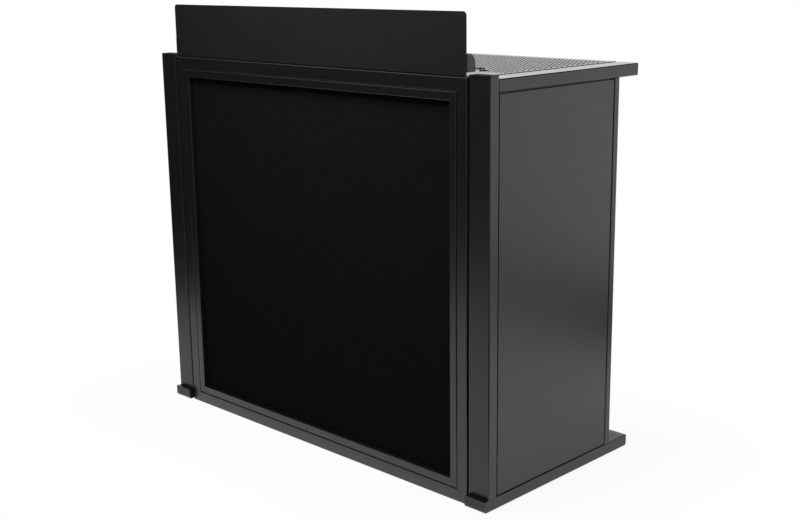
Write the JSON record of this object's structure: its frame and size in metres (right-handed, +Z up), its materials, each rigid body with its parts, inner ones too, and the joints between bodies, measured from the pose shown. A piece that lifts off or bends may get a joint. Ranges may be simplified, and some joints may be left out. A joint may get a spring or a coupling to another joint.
{
  "type": "dj booth",
  "caption": "Free-standing steel DJ booth: tube side frames with flat panels, a front frame with a black cloth scrim, a perforated deck and a raised fascia.",
  "frame": {"origin": "On the floor, at the middle of the booth's outline.", "axes": "+X to the right seen from the front, +Y from the front to the back, where the player stands, +Z up."},
  "size_m": [1.2, 0.57, 1.14],
  "materials": {
    "powder_coated_steel": "satin",
    "powder_coated_deck": "satin",
    "coated_aluminium": "satin",
    "key_aluminium": "matte",
    "cap_plastic": "satin",
    "knob_plastic": "satin",
    "pad_rubber": "matte",
    "plated_steel": "satin",
    "scrim_cloth": "matte"
  },
  "bodies": {
    "chassis": {"base_rail_caps_left": "cap_plastic", "base_rail_caps_right": "cap_plastic", "base_rail_left": "powder_coated_steel", "base_rail_right": "powder_coated_steel", "cross_rail_cleats_left": "powder_coated_steel", "cross_rail_cleats_right": "powder_coated_steel", "deck_ledge_left": "powder_coated_steel", "deck_ledge_right": "powder_coated_steel", "foot_pads_left": "pad_rubber", "foot_pads_right": "pad_rubber", "frame_cleats_left": "powder_coated_steel", "frame_cleats_right": "powder_coated_steel", "front_cross_rail": "powder_coated_steel", "front_post_left": "powder_coated_steel", "front_post_right": "powder_coated_steel", "panel_level_angles_left": "powder_coated_steel", "panel_level_angles_right": "powder_coated_steel", "panel_upright_angles_left": "powder_coated_steel", "panel_upright_angles_right": "powder_coated_steel", "post_cap_left": "cap_plastic", "post_cap_right": "cap_plastic", "rear_cross_rail": "powder_coated_steel", "rear_post_left": "powder_coated_steel", "rear_post_right": "powder_coated_steel", "side_panel_left": "powder_coated_steel", "side_panel_right": "powder_coated_steel", "top_rail_cap_left": "cap_plastic", "top_rail_cap_right": "cap_plastic", "top_rail_left": "powder_coated_steel", "top_rail_right": "powder_coated_steel"},
    "front_frame": {"frame_top_rail": "coated_aluminium", "frame_bottom_rail": "coated_aluminium", "frame_stile_left": "coated_aluminium", "frame_stile_right": "coated_aluminium", "frame_corner_keys": "key_aluminium", "scrim_magnets": "plated_steel"},
    "scrim_frame": {"scrim_frame_top": "coated_aluminium", "scrim_frame_right": "coated_aluminium", "scrim_frame_bottom": "coated_aluminium", "scrim_frame_left": "coated_aluminium", "scrim": "scrim_cloth", "scrim_edge_strip": "pad_rubber"},
    "fascia": {"fascia_panel": "powder_coated_steel", "fascia_angle": "powder_coated_steel", "fascia_tongues": "plated_steel"},
    "deck": {"deck_sheet": "powder_coated_deck", "deck_ribs": "powder_coated_steel", "deck_edge_angle": "powder_coated_steel", "deck_plugs": "pad_rubber"},
    "deck_knob_front_left_body": {"deck_knob_front_left": "knob_plastic"},
    "deck_knob_front_right_body": {"deck_knob_front_right": "knob_plastic"},
    "deck_knob_rear_left_body": {"deck_knob_rear_left": "knob_plastic"},
    "deck_knob_rear_right_body": {"deck_knob_rear_right": "knob_plastic"},
    "frame_knob_lower_left_body": {"frame_knob_lower_left": "knob_plastic"},
    "frame_knob_lower_right_body": {"frame_knob_lower_right": "knob_plastic"},
    "frame_knob_upper_left_body": {"frame_knob_upper_left": "knob_plastic"},
    "frame_knob_upper_right_body": {"frame_knob_upper_right": "knob_plastic"}
  },
  "joints": [
    {"name": "front_frame_pull", "type": "slide", "parent": "chassis", "child": "front_frame", "axis": [0, -1, 0], "range_m": [0, 0.15]},
    {"name": "scrim_frame_pull", "type": "slide", "parent": "front_frame", "child": "scrim_frame", "axis": [0, -1, 0], "range_m": [0, 0.1]},
    {"name": "fascia_lift", "type": "slide", "parent": "front_frame", "child": "fascia", "axis": [0, 0, 1], "range_m": [0, 0.15]},
    {"name": "deck_lift", "type": "slide", "parent": "chassis", "child": "deck", "axis": [0, 0, 1], "range_m": [0, 0.25]},
    {"name": "deck_knob_front_left_turn", "type": "hinge", "parent": "chassis", "child": "deck_knob_front_left_body", "pos_m": [-0.518, -0.22, 0.965], "axis": [0, 0, 1], "continuous": true},
    {"name": "deck_knob_front_right_turn", "type": "hinge", "parent": "chassis", "child": "deck_knob_front_right_body", "pos_m": [0.518, -0.22, 0.965], "axis": [0, 0, 1], "continuous": true},
    {"name": "deck_knob_rear_left_turn", "type": "hinge", "parent": "chassis", "child": "deck_knob_rear_left_body", "pos_m": [-0.518, 0.262, 0.965], "axis": [0, 0, 1], "continuous": true},
    {"name": "deck_knob_rear_right_turn", "type": "hinge", "parent": "chassis", "child": "deck_knob_rear_right_body", "pos_m": [0.518, 0.262, 0.965], "axis": [0, 0, 1], "continuous": true},
    {"name": "frame_knob_lower_left_turn", "type": "hinge", "parent": "chassis", "child": "frame_knob_lower_left_body", "pos_m": [-0.518, -0.238, 0.26], "axis": [0, -1, 0], "continuous": true},
    {"name": "frame_knob_lower_right_turn", "type": "hinge", "parent": "chassis", "child": "frame_knob_lower_right_body", "pos_m": [0.518, -0.238, 0.26], "axis": [0, -1, 0], "continuous": true},
    {"name": "frame_knob_upper_left_turn", "type": "hinge", "parent": "chassis", "child": "frame_knob_upper_left_body", "pos_m": [-0.518, -0.238, 0.74], "axis": [0, -1, 0], "continuous": true},
    {"name": "frame_knob_upper_right_turn", "type": "hinge", "parent": "chassis", "child": "frame_knob_upper_right_body", "pos_m": [0.518, -0.238, 0.74], "axis": [0, -1, 0], "continuous": true}
  ]
}
